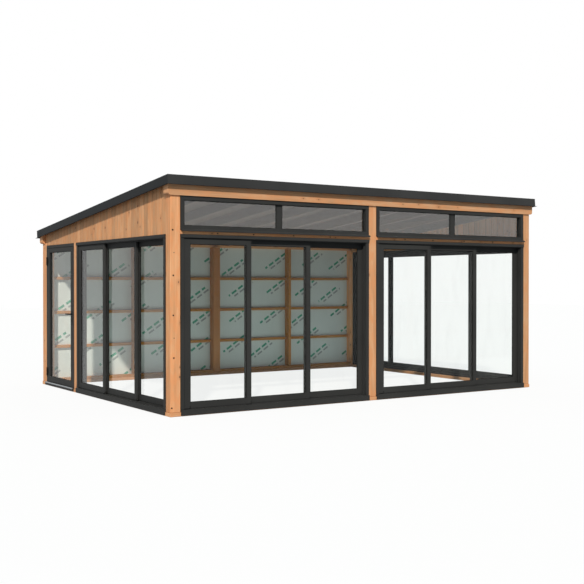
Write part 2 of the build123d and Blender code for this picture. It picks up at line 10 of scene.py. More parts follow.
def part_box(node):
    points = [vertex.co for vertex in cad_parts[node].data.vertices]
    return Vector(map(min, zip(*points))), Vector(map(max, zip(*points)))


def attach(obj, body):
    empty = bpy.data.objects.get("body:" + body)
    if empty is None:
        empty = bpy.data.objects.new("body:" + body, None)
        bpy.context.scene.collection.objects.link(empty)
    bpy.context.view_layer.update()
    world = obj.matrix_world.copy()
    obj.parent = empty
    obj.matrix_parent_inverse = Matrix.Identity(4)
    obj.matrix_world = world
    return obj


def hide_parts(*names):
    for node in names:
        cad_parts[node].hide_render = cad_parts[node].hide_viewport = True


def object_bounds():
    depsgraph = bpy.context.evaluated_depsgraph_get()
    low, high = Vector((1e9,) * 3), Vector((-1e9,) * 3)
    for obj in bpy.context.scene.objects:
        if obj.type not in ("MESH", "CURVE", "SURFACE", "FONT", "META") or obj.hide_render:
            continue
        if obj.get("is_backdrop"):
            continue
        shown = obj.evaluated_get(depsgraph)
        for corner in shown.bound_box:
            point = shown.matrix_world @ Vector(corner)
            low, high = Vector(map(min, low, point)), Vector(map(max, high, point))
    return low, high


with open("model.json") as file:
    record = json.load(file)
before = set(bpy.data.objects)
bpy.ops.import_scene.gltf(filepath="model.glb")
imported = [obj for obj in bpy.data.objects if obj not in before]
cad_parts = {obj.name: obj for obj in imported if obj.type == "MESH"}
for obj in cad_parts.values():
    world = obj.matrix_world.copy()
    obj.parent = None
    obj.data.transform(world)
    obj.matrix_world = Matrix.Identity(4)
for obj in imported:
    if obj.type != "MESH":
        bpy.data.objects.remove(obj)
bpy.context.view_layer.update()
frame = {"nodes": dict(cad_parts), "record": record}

FLOAT = "NodeSocketFloat"
INTEGER = "NodeSocketInt"
VECTOR = "NodeSocketVector"
MATERIAL = "NodeSocketMaterial"
GEOMETRY = "NodeSocketGeometry"
QUARTER_TURN = math.pi / 2
SAME_PLACE, SAME_EDGE = 1e-5, 0.001

# Where the pod's main faces lie, read from its solids
posts_low, posts_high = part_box("front_posts")
back_posts_low, back_posts_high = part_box("back_posts")
left_face = posts_low.x
front_face = posts_low.y
front_inside = posts_high.y
back_inside = back_posts_low.y
front_post_top = posts_high.z
back_post_top = back_posts_high.z
post_foot = posts_low.z


# --- Node trees -------------------------------------------

class Kit:
    """Works on a node tree: adds nodes, sets their inputs and joins them."""

    def __init__(self, tree):
        self.tree = tree
        self.shader = tree.nodes.get("Principled BSDF")

    def node(self, kind, inputs=None, **settings):
        made = self.tree.nodes.new(kind)
        for name, value in settings.items():
            setattr(made, name, value)
        for key, value in (inputs or {}).items():
            self.feed(made.inputs[key], value)
        return made

    def feed(self, socket, value):
        if isinstance(value, bpy.types.NodeSocket):
            self.tree.links.new(value, socket)
        elif socket.type == "RGBA":
            socket.default_value = (*value, 1.0)
        else:
            socket.default_value = value

    def made(self, kind, inputs=None, **settings):
        return self.node(kind, inputs, **settings).outputs[0]

    def give(self, given, **values):
        for label, value in values.items():
            self.feed(given[label], value)

    def group(self, tree, inputs):
        return self.node("ShaderNodeGroup", inputs, node_tree=tree).outputs

    def math(self, operation, first, second=0.0):
        return self.made("ShaderNodeMath", {0: first, 1: second}, operation=operation)

    def times(self, first, second):
        return self.math("MULTIPLY", first, second)

    def weigh(self, first, first_share, second, second_share):
        return self.math("ADD", self.times(first, first_share), self.times(second, second_share))

    def ease(self, value, low, high):
        inputs = {"Value": value, "From Min": low, "From Max": high}
        return self.made("ShaderNodeMapRange", inputs, interpolation_type="SMOOTHSTEP")

    def between(self, value, low, high):
        inputs = {"Value": value, "To Min": low, "To Max": high}
        return self.made("ShaderNodeMapRange", inputs)

    def mix(self, share, first, second, blend="MIX"):
        inputs = {0: share, 6: first, 7: second}
        return self.node("ShaderNodeMix", inputs, data_type="RGBA", blend_type=blend).outputs[2]

    def tint(self, colour, mask, strength, other):
        """Lays another colour over the first where the mask is, at most at the strength."""
        return self.mix(self.times(mask, strength), colour, other)

    def vector(self, operation, first, second):
        inputs = {0: first, 1: second}
        return self.made("ShaderNodeVectorMath", inputs, operation=operation)

    def lengthen(self, direction, by):
        return self.made("ShaderNodeVectorMath", {0: direction, "Scale": by}, operation="SCALE")

    def noise(self, where, scale, detail=2.0, rough=0.5):
        inputs = {"Vector": where, "Scale": scale, "Detail": detail, "Roughness": rough}
        return self.made("ShaderNodeTexNoise", inputs)

    def noise_along(self, where, run, *noise):
        return self.noise(self.vector("MULTIPLY", where, run), *noise)

    def parts(self, vector):
        return self.node("ShaderNodeSeparateXYZ", {0: vector}).outputs

    def joined(self, x, y, z):
        return self.made("ShaderNodeCombineXYZ", {0: x, 1: y, 2: z})

    def finish(self, colour, rough, relief=None, gloss=None):
        """Feeds the shader its colour, roughness, relief (height, strength, depth) and gloss."""
        sockets = self.shader.inputs
        self.feed(sockets["Base Color"], colour)
        self.feed(sockets["Roughness"], rough)
        if relief is not None:
            inputs = dict(zip(("Height", "Strength", "Distance"), relief))
            self.feed(sockets["Normal"], self.made("ShaderNodeBump", inputs))
        if gloss is not None:
            sockets["Specular IOR Level"].default_value = gloss


def floats(*labels):
    return [(label, FLOAT) for label in labels]


def open_group(name, kind, takes, gives):
    """A node group with named inputs and outputs, and the sockets to build between."""
    tree = bpy.data.node_groups.new(name, kind)
    for in_out, sockets in (("INPUT", takes), ("OUTPUT", gives)):
        for label, socket_type in sockets:
            tree.interface.new_socket(label, in_out=in_out, socket_type=socket_type)
    kit = Kit(tree)
    taken = kit.node("NodeGroupInput").outputs
    given = kit.node("NodeGroupOutput").inputs
    return kit, taken, given


# --- Effects shared by the finishes -----------------------

# Noise: how far it is drawn out, if it is; then its scale, its detail and its roughness
RING_RUN, RING_FINE = (1.0, 1.0, 0.085), 9.0
STREAK_NOISE = (1.0, 1.0, 0.02), 46.0, 3.0, 0.55
FIBRE_NOISE = (1.0, 1.0, 0.014), 230.0, 3.0, 0.6
PATCH_NOISE = (1.0, 1.0, 0.36), 17.0, 3.0, 0.6
RING_EDGE, STREAK_EDGE, PATCH_EDGE = (0.1, 1.0), (0.3, 0.7), (0.4, 0.64)
RINGS_ACROSS = 8.0
FIGURE_LIFT, FIBRE_LIFT, KNOT_DIP = 0.4, 0.6, 0.5
KNOT_CELLS = 7.5
KNOT_STRETCH = 0.6
KNOT_SPANS = (2.5, 1.35)
KNOT_EDGE = (0.085, 0.05)
HALO_EDGE = (0.46, 0.06)
GRAIN_BEND = (0.011, 0.011, 0.0)
LOG_SHIFT = (3.1, 1.7, 5.3)
SIDE_SHIFT = 3.7


def make_timber_grain():
    """Long growth streaks, fibre and small knots of sawn softwood that runs along Z."""
    kit, taken, given = open_group(
        "timber_grain", "ShaderNodeTree",
        [
            ("Vector", VECTOR), ("Facing", VECTOR),
            *floats("Tone", "Streak Scale", "Knots", "Knot Size"),
        ],
        floats("Figure", "Fibre", "Patch", "Knot", "Halo", "Height"),
    )
    along = kit.vector("ADD", taken["Vector"], kit.lengthen(LOG_SHIFT, taken["Tone"]))
    x, y, z = kit.parts(along)
    sideways = kit.math("ABSOLUTE", kit.parts(taken["Facing"])[0])
    on_side = kit.math("GREATER_THAN", sideways, 0.5)
    to_side = kit.math("SUBTRACT", kit.math("ADD", y, SIDE_SHIFT), x)
    face = kit.math("ADD", x, kit.times(to_side, on_side))
    knot_place = kit.joined(face, kit.times(z, KNOT_STRETCH), 0.0)
    cells = {"Vector": knot_place, "Scale": KNOT_CELLS}
    knot_cells = kit.node("ShaderNodeTexVoronoi", cells, voronoi_dimensions="2D").outputs
    reach = kit.math("DIVIDE", knot_cells["Distance"], taken["Knot Size"])
    draw = kit.node("ShaderNodeSeparateColor", {0: knot_cells["Color"]}).outputs
    grown = kit.math("LESS_THAN", draw[0], taken["Knots"])
    span = kit.times(reach, kit.between(draw[1], *KNOT_SPANS))
    knot = kit.times(kit.ease(span, *KNOT_EDGE), grown)
    halo = kit.times(kit.ease(span, *HALO_EDGE), grown)
    bent = kit.vector("ADD", along, kit.lengthen(GRAIN_BEND, halo))
    ring_fine = kit.times(taken["Streak Scale"], RING_FINE)
    slow = kit.noise_along(bent, RING_RUN, ring_fine)
    rings = kit.math("PINGPONG", kit.times(slow, RINGS_ACROSS), 1.0)
    streaks = kit.noise_along(bent, *STREAK_NOISE)
    figure = kit.weigh(kit.ease(rings, *RING_EDGE), 0.5, kit.ease(streaks, *STREAK_EDGE), 0.5)
    fibre = kit.noise_along(bent, *FIBRE_NOISE)
    patch = kit.noise_along(bent, *PATCH_NOISE)
    lift = kit.weigh(figure, FIGURE_LIFT, fibre, FIBRE_LIFT)
    kit.give(
        given, Figure=figure, Fibre=fibre, Patch=kit.ease(patch, *PATCH_EDGE), Knot=knot,
        Halo=halo, Height=kit.math("SUBTRACT", lift, kit.times(knot, KNOT_DIP)),
    )
    return kit.tree


CLOUD_NOISE, SPECK_NOISE = (1.7, 3.0), (26.0, 4.0, 0.65)
RUN_NOISE = (1.0, 1.0, 0.05), 22.0, 3.0
SPECK_EDGE, RUN_EDGE = (0.42, 0.78), (0.5, 0.75)


def make_coat_skin():
    """The cloudy tone, fine orange peel and low dust of a painted or bare metal sheet."""
    kit, taken, given = open_group(
        "coat_skin", "ShaderNodeTree",
        [("Vector", VECTOR), *floats("Peel Scale", "Dust Height")],
        floats("Cloud", "Peel", "Dust", "Runs"),
    )
    where = taken["Vector"]
    near_ground = kit.ease(kit.parts(where)[2], taken["Dust Height"], 0.0)
    specks = kit.ease(kit.noise(where, *SPECK_NOISE), *SPECK_EDGE)
    runs = kit.noise_along(where, *RUN_NOISE)
    kit.give(
        given, Cloud=kit.noise(where, *CLOUD_NOISE), Dust=kit.times(near_ground, specks),
        Peel=kit.noise(where, taken["Peel Scale"]), Runs=kit.ease(runs, *RUN_EDGE),
    )
    return kit.tree


timber_grain = make_timber_grain()
coat_skin = make_coat_skin()


# --- Finishes ---------------------------------------------

def open_finish(name):
    material = bpy.data.materials.new(name)
    material.use_nodes = True
    kit = Kit(material.node_tree)
    return material, kit, kit.node("ShaderNodeTexCoord").outputs["Object"]


def shaded(colour, red, green, blue):
    """A colour with its three parts turned down."""
    return (colour[0] * red, colour[1] * green, colour[2] * blue)


# Timber: a length draws its tone from the place of its own line, a board from its number
TIMBER_SPACING = 0.7
STICK_DRAW = (12.0, 46.0, 1.0)
STICK_SHADE = (0.7, 0.83, 0.97)
STICK_STREAKS, BOARD_STREAKS = 0.3, 0.5
STICK_KNOTS, BOARD_KNOTS = 1.15, 1.5
FIGURE_SHARE = 0.8
FIBRE_EDGE, STREAK_PARTS = (0.45, 0.75), (0.8, 0.78, 0.76)
TONE_RED, PATCH_RED, RED_PARTS = 0.25, 0.62, (0.92, 0.71, 0.56)
HALO_TINT = 0.4, (0.44, 0.19, 0.08)
KNOT_TINT = 0.93, (0.085, 0.03, 0.014)
# End faces lean to the pale tone: painted light
END_EDGE, END_GRAIN_LIGHT_SHARE, END_GRAIN_LIGHT_PARTS = (0.85, 0.97), 0.6, (0.97, 0.97, 0.97)
SECOND_DRAW, BROWNEST = 7.31, 0.8
WEATHERED_SHADE = (0.62, 0.66, 0.68)
# Painted shade in the V joints between boards
GROOVE_SHADE_EDGE, GROOVE_SHADE_SHARE, GROOVE_SHADE_PARTS = (0.1, 0.8), 0.8, (0.3, 0.22, 0.16)
# Painted shade on posts well inside the roof: its tint, how far from the sides and how deep it
# starts
INSIDE_PAINTED_SHADE = (0.74, 0.58, 0.4)
PAINTED_SHADE_ACROSS, PAINTED_SHADE_DEEP = (2.4, 1.2), (0.5, 1.5)
# A darker band at the foot of every post: how high it fades out, where it is full, its strength and
# tint
FOOT_BAND_TOP, FOOT_BAND_FULL = 0.009, 0.0036
FOOT_BAND_SHARE, FOOT_BAND_PARTS = 0.75, (0.42, 0.34, 0.28)


def draw_stick_tone(kit, laid):
    """One tone for each length of timber, from the line that it lies on."""
    nearest = kit.vector("ADD", kit.lengthen(laid, 1.0 / TIMBER_SPACING), (0.5, 0.5, 0.5))
    whole = kit.vector("FLOOR", nearest, (0.0, 0.0, 0.0))
    line = kit.vector("MULTIPLY", whole, (1.0, 1.0, 0.0))
    stick = kit.vector("ADD", line, STICK_DRAW)
    return kit.made("ShaderNodeTexWhiteNoise", {"Vector": stick})


def tone_boards_and_shade_grooves(kit, colour, tone, deep):
    """Some boards browner than others, and painted shade on the V joints between them."""
    second_draw = kit.math("FRACT", kit.times(tone, SECOND_DRAW))
    browner = kit.mix(1.0, colour, WEATHERED_SHADE, "MULTIPLY")
    colour = kit.tint(colour, second_draw, BROWNEST, browner)
    # Painted shade on the faces of the V joints
    edge = kit.node("ShaderNodeAttribute", attribute_name="edge").outputs["Fac"]
    joint = kit.ease(edge, *GROOVE_SHADE_EDGE)
    return kit.tint(colour, joint, GROOVE_SHADE_SHARE, shaded(deep, *GROOVE_SHADE_PARTS))


def paint_post_shade_and_foot_band(kit, where, colour, deep, foot):
    """Painted shade: a deeper tone on the middle back post, inside the roof; and a darker band at
    every foot.
    """
    x, y, z = kit.parts(where)
    # Painted shade on posts away from both sides and towards the back, inside the roof
    inward = kit.ease(kit.math("ABSOLUTE", x), *PAINTED_SHADE_ACROSS)
    in_painted_shade = kit.times(inward, kit.ease(y, *PAINTED_SHADE_DEEP))
    painted_shade_colour = kit.mix(1.0, colour, INSIDE_PAINTED_SHADE, "MULTIPLY")
    colour = kit.mix(in_painted_shade, colour, painted_shade_colour)
    # Darker towards the foot of each post
    at_foot = kit.ease(z, foot + FOOT_BAND_TOP, foot + FOOT_BAND_FULL)
    return kit.tint(colour, at_foot, FOOT_BAND_SHARE, shaded(deep, *FOOT_BAND_PARTS))


def make_timber(name, run, pale, deep, knots=0.22, boards=False, streak_scale=1.0, foot=None):
    """Oiled softwood whose grain runs along the given axis; each length has its own tone."""
    material, kit, where = open_finish(name)
    turns = {"X": (0.0, QUARTER_TURN, 0.0), "Y": (QUARTER_TURN, 0.0, 0.0), "Z": (0.0, 0.0, 0.0)}
    facing = kit.node("ShaderNodeTexCoord").outputs["Normal"]
    laid, laid_facing = (
        kit.made("ShaderNodeMapping", {"Vector": vector, "Rotation": turns[run]})
        for vector in (where, facing)
    )
    if boards:
        tone = kit.node("ShaderNodeAttribute", attribute_name="board").outputs["Fac"]
    else:
        tone = draw_stick_tone(kit, laid)
    drawn = kit.group(timber_grain, {
        "Vector": laid, "Facing": laid_facing, "Tone": tone, "Streak Scale": streak_scale,
        "Knots": knots, "Knot Size": BOARD_KNOTS if boards else STICK_KNOTS,
    })
    colour = kit.tint(pale, drawn["Figure"], FIGURE_SHARE, deep)
    streaks = BOARD_STREAKS if boards else STICK_STREAKS
    fibre = kit.ease(drawn["Fibre"], *FIBRE_EDGE)
    colour = kit.tint(colour, fibre, streaks, shaded(deep, *STREAK_PARTS))
    redness = kit.weigh(tone, TONE_RED, drawn["Patch"], PATCH_RED)
    colour = kit.mix(redness, colour, shaded(pale, *RED_PARTS))
    if boards:
        colour = tone_boards_and_shade_grooves(kit, colour, tone, deep)
    else:
        colour = kit.mix(tone, colour, kit.mix(1.0, colour, STICK_SHADE, "MULTIPLY"))
    colour = kit.tint(colour, drawn["Halo"], *HALO_TINT)
    colour = kit.tint(colour, drawn["Knot"], *KNOT_TINT)
    # Painted light: cut end faces lean to the pale tone, so they read as sunlit
    end_face = kit.ease(kit.math("ABSOLUTE", kit.parts(laid_facing)[2]), *END_EDGE)
    colour = kit.tint(colour, end_face, END_GRAIN_LIGHT_SHARE, shaded(pale, *END_GRAIN_LIGHT_PARTS))
    if foot is not None:
        colour = paint_post_shade_and_foot_band(kit, where, colour, deep, foot)
    rough = kit.between(drawn["Fibre"], 0.5, 0.78)
    kit.finish(colour, rough, (drawn["Height"], 0.35, 0.0015), gloss=0.25)
    return material


CLOUD_EDGE, RUN_SHARE = (0.3, 0.7), 0.2
COAT_DUST = 0.1, (0.16, 0.135, 0.11)
SCRATCH_FINE, SCRATCH_EDGE = 420.0, (0.35, 0.7)
METAL_DUST, METAL_DUST_HEIGHT = (0.5, (0.3, 0.26, 0.21)), 0.12
METAL_DULL, METAL_SHARE = (0.62, 0.62, 0.62), 0.85


def make_coated_metal(name, colour, pale, peel_scale, dust_height, rough):
    """Powder-coated metal: fine peel, a slight cloudiness, a little dust near the ground."""
    material, kit, where = open_finish(name)
    drawn = kit.group(
        coat_skin, {"Vector": where, "Peel Scale": peel_scale, "Dust Height": dust_height},
    )
    shade = kit.mix(kit.ease(drawn["Cloud"], *CLOUD_EDGE), colour, pale)
    shade = kit.tint(shade, drawn["Runs"], RUN_SHARE, pale)
    shade = kit.tint(shade, drawn["Dust"], *COAT_DUST)
    uneven = kit.between(drawn["Cloud"], *rough)
    kit.finish(shade, uneven, (drawn["Peel"], 0.12, 0.0004), gloss=0.025)
    return material


def make_bare_metal(name, colour, scratch_run):
    """Mill-finish metal with fine scratches along its length and a little dust."""
    material, kit, where = open_finish(name)
    scratches = kit.noise_along(where, scratch_run, SCRATCH_FINE)
    drawn = kit.group(coat_skin, {"Vector": where, "Dust Height": METAL_DUST_HEIGHT})
    worn = kit.ease(scratches, *SCRATCH_EDGE)
    shade = kit.mix(worn, colour, shaded(colour, *METAL_DULL))
    shade = kit.tint(shade, drawn["Dust"], *METAL_DUST)
    rough = kit.between(scratches, 0.32, 0.6)
    kit.finish(shade, rough, (scratches, 0.15, 0.0003))
    kit.shader.inputs["Metallic"].default_value = METAL_SHARE
    return material


FILM_NOISE = (1.0, 1.0, 0.35), 5.0, 4.0, 0.6
FILM_EDGE, FILM_ROUGH, FILM_PARTS = (0.45, 0.85), 0.012, (0.96, 0.96, 0.96)
LET_THROUGH = (0.97, 0.98, 0.976)


def make_glass(name, tint, bend):
    """Clear glass with a faint film; lamps shine through it."""
    material, kit, where = open_finish(name)
    veil = kit.ease(kit.noise_along(where, *FILM_NOISE), *FILM_EDGE)
    shade = kit.mix(veil, tint, shaded(tint, *FILM_PARTS))
    kit.finish(shade, kit.times(veil, FILM_ROUGH))
    kit.shader.inputs["Transmission Weight"].default_value = 1.0
    kit.shader.inputs["IOR"].default_value = bend
    path = kit.node("ShaderNodeLightPath").outputs
    through = kit.math("MAXIMUM", path["Is Shadow Ray"], path["Is Diffuse Ray"])
    clear = kit.made("ShaderNodeBsdfTransparent", {0: LET_THROUGH})
    blend = kit.made("ShaderNodeMixShader", {0: through, 1: kit.shader.outputs[0], 2: clear})
    kit.feed(material.node_tree.nodes["Material Output"].inputs["Surface"], blend)
    return material


# Wind sheet: slanting rows of dashes, a green one and a grey one below it in each row
SHEET_PALE = (0.672, 0.685, 0.648)
SHEET_SHADE = (0.585, 0.603, 0.575)
SHEET_THREAD = 0.2, (0.55, 0.58, 0.565)
DASH_GREEN = 0.92, (0.008, 0.25, 0.145)
DASH_GREY = 0.75, (0.16, 0.17, 0.17)
DASH_SLANT = math.radians(33.0)
ROW_PITCH = 0.36
STRETCH_PITCH, STRETCH_SHARE = 0.85, 0.56
LATE_START, LATE_SHARE = 0.1, 0.5
DASH_PITCH, DASH_SHARE = 0.145, 0.72
GREEN_BAND, GREY_BAND = (0.5, 0.6), (0.34, 0.42)
WEAVE_NOISE, WEAVE_LIFT = (420.0, 1.0), 0.05
SLACK_NOISE = (1.0, 1.0, 0.5), 3.2, 3.0


def make_wind_sheet(name):
    """Pale woven wind sheet with broken diagonal dashes in green and grey."""
    material, kit, where = open_finish(name)
    x, _, z = kit.parts(where)
    level, rise = math.cos(DASH_SLANT), math.sin(DASH_SLANT)
    along = kit.weigh(x, level, z, rise)
    across = kit.math("SUBTRACT", kit.times(z, level), kit.times(x, rise))
    rows = kit.math("DIVIDE", across, ROW_PITCH)
    row = kit.math("FLOOR", rows)
    place = kit.math("FRACT", rows)
    slide = kit.made("ShaderNodeTexWhiteNoise", {"W": row}, noise_dimensions="1D")
    run = kit.math("ADD", kit.math("DIVIDE", along, STRETCH_PITCH), slide)

    def first_part(value, share):
        return kit.math("LESS_THAN", kit.math("FRACT", value), share)

    def band(low, high):
        above = kit.math("GREATER_THAN", place, low)
        return kit.times(above, kit.math("LESS_THAN", place, high))

    dashes = first_part(kit.math("DIVIDE", along, DASH_PITCH), DASH_SHARE)
    late = first_part(kit.math("SUBTRACT", run, LATE_START), LATE_SHARE)
    green = kit.times(kit.times(band(*GREEN_BAND), first_part(run, STRETCH_SHARE)), dashes)
    grey = kit.times(kit.times(band(*GREY_BAND), late), dashes)
    weave = kit.noise(where, *WEAVE_NOISE)
    slack = kit.noise_along(where, *SLACK_NOISE)
    sheet = kit.mix(slack, SHEET_SHADE, SHEET_PALE)
    sheet = kit.tint(sheet, weave, *SHEET_THREAD)
    sheet = kit.tint(sheet, green, *DASH_GREEN)
    sheet = kit.tint(sheet, grey, *DASH_GREY)
    height = kit.weigh(slack, 1.0, weave, WEAVE_LIFT)
    rough = kit.between(weave, 0.55, 0.8)
    kit.finish(sheet, rough, (height, 0.3, 0.01))
    return material


ROOF_DARK = (0.022, 0.023, 0.025)
ROOF_GRIT = 0.6, (0.042, 0.042, 0.043)
ROOF_DUST = 0.16, (0.085, 0.083, 0.079)
GRIT_FINE = 310.0
POOL_NOISE, POOL_EDGE = (1.1, 4.0, 0.6), (0.45, 0.8)


def make_roof_skin(name):
    """Rubber roof skin: matt, dusty where water stands, with fine grain."""
    material, kit, where = open_finish(name)
    pools = kit.noise(where, *POOL_NOISE)
    grit = kit.noise(where, GRIT_FINE)
    shade = kit.tint(ROOF_DARK, grit, *ROOF_GRIT)
    shade = kit.tint(shade, kit.ease(pools, *POOL_EDGE), *ROOF_DUST)
    rough = kit.between(pools, 0.72, 0.86)
    kit.finish(shade, rough, (grit, 0.25, 0.0006), gloss=0.12)
    return material


def make_rubber(name, dark, pale, bloom_scale=38.0, relief=0.1):
    """Black gasket rubber, slightly dusty; with a fine bloom it is the pile of a brush seal."""
    material, kit, where = open_finish(name)
    bloom = kit.noise(where, bloom_scale, detail=3.0)
    shade = kit.mix(bloom, dark, pale)
    rough = kit.between(bloom, 0.55, 0.8)
    kit.finish(shade, rough, (bloom, relief, 0.0005), gloss=0.1)
    return material


OILED = (0.87, 0.455, 0.23), (0.56, 0.24, 0.099)
BOARD = (0.86, 0.475, 0.245), (0.55, 0.265, 0.125)
# Lining and rafters made dark as painted shade under the roof; the lining darker than the rafters
# as further painted shade
SHADED_LINING = (0.12, 0.084, 0.059), (0.092, 0.06, 0.038)
SHADED_RAFTER = (0.165, 0.115, 0.079), (0.126, 0.08, 0.05)
FRAMING = (0.58, 0.245, 0.058), (0.34, 0.128, 0.027)
timber_along = {run: make_timber("oiled_timber_" + run.lower(), run, *OILED) for run in "XY"}
timber_along["Z"] = make_timber("oiled_timber_z", "Z", *OILED, foot=post_foot)
framing_along = {
    run: make_timber("framing_timber_" + run.lower(), run, *FRAMING, knots=0.12) for run in "XYZ"
}
upright_boards = make_timber(
    "upright_boards", "Z", *BOARD, knots=0.24, boards=True, streak_scale=1.4,
)
roof_boards = make_timber("roof_boards", "X", *SHADED_LINING, knots=0.2, boards=True, streak_scale=1.2)
rafter_timber = make_timber("rafter_timber", "Y", *SHADED_RAFTER, knots=0.1)
# Coats: the colour, a paler one, the peel's scale, the dust's height, the roughness
EDGE_SKIN = (500.0, 0.05, (0.45, 0.62))
COATS = {
    "anthracite_coat": ((0.0345, 0.035, 0.035), (0.0415, 0.042, 0.0418), 700.0, 0.07, (0.42, 0.58)),
    "roof_edge_coat": ((0.0375, 0.0385, 0.0397), (0.0445, 0.0454, 0.0467), *EDGE_SKIN),
    # The verge fascias: the eaves' coat darkened as painted shade
    "verge_painted_shade_coat": ((0.0265, 0.0285, 0.031), (0.0325, 0.0345, 0.037), *EDGE_SKIN),
    "hardware_coat": ((0.012, 0.012, 0.0125), (0.019, 0.019, 0.0195), 900.0, 0.05, (0.3, 0.42)),
    "plug_metal": ((0.012, 0.008, 0.007), (0.024, 0.015, 0.012), 900.0, 0.05, (0.5, 0.7)),
}
frame_coat, roof_edge_coat, verge_painted_shade_coat, hardware_coat, plug_metal = (
    make_coated_metal(name, *values) for name, values in COATS.items()
)
nosing_metal = make_bare_metal("nosing_metal", (0.36, 0.385, 0.41), (1.0, 0.03, 1.0))
nail_metal = make_bare_metal("nail_metal", (0.46, 0.45, 0.43), (1.0, 1.0, 1.0))
door_glass = make_glass("door_glass", (0.968, 0.984, 0.974), bend=1.2)
sky_glass = make_glass("sky_glass", (0.95, 0.965, 0.96), bend=1.72)
wind_sheet = make_wind_sheet("wind_sheet")
roof_skin = make_roof_skin("roof_skin")
gasket_rubber = make_rubber("gasket_rubber", (0.008, 0.008, 0.008), (0.022, 0.022, 0.021))
pile_seal = make_rubber(
    "pile_seal", (0.03, 0.03, 0.03), (0.06, 0.06, 0.059), bloom_scale=260.0, relief=0.35,
)


# --- Finishes on the solids -------------------------------

TIMBER_RUNS = {
    "X": ("long_sills", "front_beam", "back_beam", "transom_rails"),
    "Y": ("side_sills",),
    "Z": ("front_posts", "back_posts", "left_door_post"),
}
FRAMING_RUNS = {"X": ("sole_plates", "wall_noggings"), "Y": ("side_headers",), "Z": ("wall_studs",)}
FINISH_BY_ENDING = (
    (("_glass",), door_glass),
    (("_sash", "_sashes", "door_frame", "clerestory_frames"), frame_coat),
    (("_hinges", "handle_plates", "lever_handle"), hardware_coat),
)
FINISH_BY_NAME = {
    "eaves_fascias": roof_edge_coat, "verge_fascias": verge_painted_shade_coat, "door_threshold": frame_coat,
    "clerestory_glass": sky_glass, "wind_membrane": wind_sheet, "rafters": rafter_timber,
    "roof_covering": roof_skin, "gable_cladding": upright_boards, "back_cladding": upright_boards,
    "roof_deck": roof_boards,
}
finishes = {}
for runs, timbers in ((TIMBER_RUNS, timber_along), (FRAMING_RUNS, framing_along)):
    for run, names in runs.items():
        finishes.update({name: timbers[run] for name in names})
for endings, material in FINISH_BY_ENDING:
    finishes.update({name: material for name in frame["nodes"] if name.endswith(endings)})
finishes.update(FINISH_BY_NAME)
for name, material in finishes.items():
    for slot in frame["nodes"][name].material_slots:
        slot.material = material


# --- Pieces -----------------------------------------------

def put_in_scene(name, data):
    made = bpy.data.objects.new(name, data)
    bpy.context.scene.collection.objects.link(made)
    return made


def place_piece(name, mesh, body, replaced=()):
    """A finished piece at the origin, riding on its body."""
    mesh.name = name
    piece = put_in_scene(name, mesh)
    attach(piece, body)
    if replaced:
        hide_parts(*replaced)


def mesh_from_tree(tree, values, stand, points=()):
    """Runs a tree with its named inputs set, and stands the plain mesh in its place."""
    seed_mesh = bpy.data.meshes.new("seed")
    seed_mesh.from_pydata([tuple(point) for point in points], [], [])
    carrier = put_in_scene("carrier", seed_mesh)
    modifier = carrier.modifiers.new("tree", "NODES")
    modifier.node_group = tree
    for item in tree.interface.items_tree:
        if item.in_out == "INPUT" and item.name in values:
            modifier[item.identifier] = values[item.name]
    bpy.context.view_layer.update()
    shown = carrier.evaluated_get(bpy.context.evaluated_depsgraph_get())
    mesh = bpy.data.meshes.new_from_object(shown)
    carrier.modifiers.remove(modifier)
    bpy.data.objects.remove(carrier)
    mesh.transform(stand)
    return mesh


def joined_mesh(meshes):
    """Several meshes of one finish made into one."""
    bm = bmesh.new()
    for mesh in meshes:
        bm.from_mesh(mesh)
    whole = bpy.data.meshes.new("joined")
    bm.to_mesh(whole)
    bm.free()
    for material in meshes[0].materials:
        whole.materials.append(material)
    for mesh in meshes:
        bpy.data.meshes.remove(mesh)
    return whole


def finished_mesh(bm, material):
    """Turns a worked shape into a mesh of one finish, its faces outward."""
    bmesh.ops.recalc_face_normals(bm, faces=bm.faces)
    mesh = bpy.data.meshes.new("worked")
    bm.to_mesh(mesh)
    bm.free()
    mesh.materials.append(material)
    return mesh


def bridge_rings(bm, ring, following):
    """A band of faces between two rings with as many corners."""
    for corner in range(len(ring)):
        after = (corner + 1) % len(ring)
        bm.faces.new((ring[corner], ring[after], following[after], following[corner]))


def close_rings(bm, rings):
    """A closed skin along a row of rings."""
    for ring, following in zip(rings, rings[1:]):
        bridge_rings(bm, ring, following)
    bm.faces.new(rings[0])
    bm.faces.new(rings[-1])


def solid_boxes(name):
    """The box of each solid in a node, from a merged copy of its mesh."""
    bm = bmesh.new()
    bm.from_mesh(frame["nodes"][name].data)
    bmesh.ops.remove_doubles(bm, verts=bm.verts, dist=SAME_PLACE)
    waiting = set(bm.verts)
    boxes = []
    while waiting:
        found = [waiting.pop()]
        for vert in found:
            for edge in vert.link_edges:
                other = edge.other_vert(vert)
                if other in waiting:
                    waiting.remove(other)
                    found.append(other)
        boxes.append([
            Vector([pick(vert.co[axis] for vert in found) for axis in range(3)])
            for pick in (min, max)
        ])
    bm.free()
    return sorted(boxes, key=lambda box: tuple(box[0]))


def thin_axis(low, high):
    """The axis, 0 or 1, across an upright panel."""
    return 0 if high.x - low.x < high.y - low.y else 1


def finish_tree(kit, taken, given, solid):
    """Ends a tree: its solid, in the material that it takes."""
    inputs = {"Geometry": solid, "Material": taken["Material"]}
    kit.give(given, Geometry=kit.made("GeometryNodeSetMaterial", inputs))
    return kit.tree


BOARD_HALF = 0.4995
BOARD_OUTER = 0.6


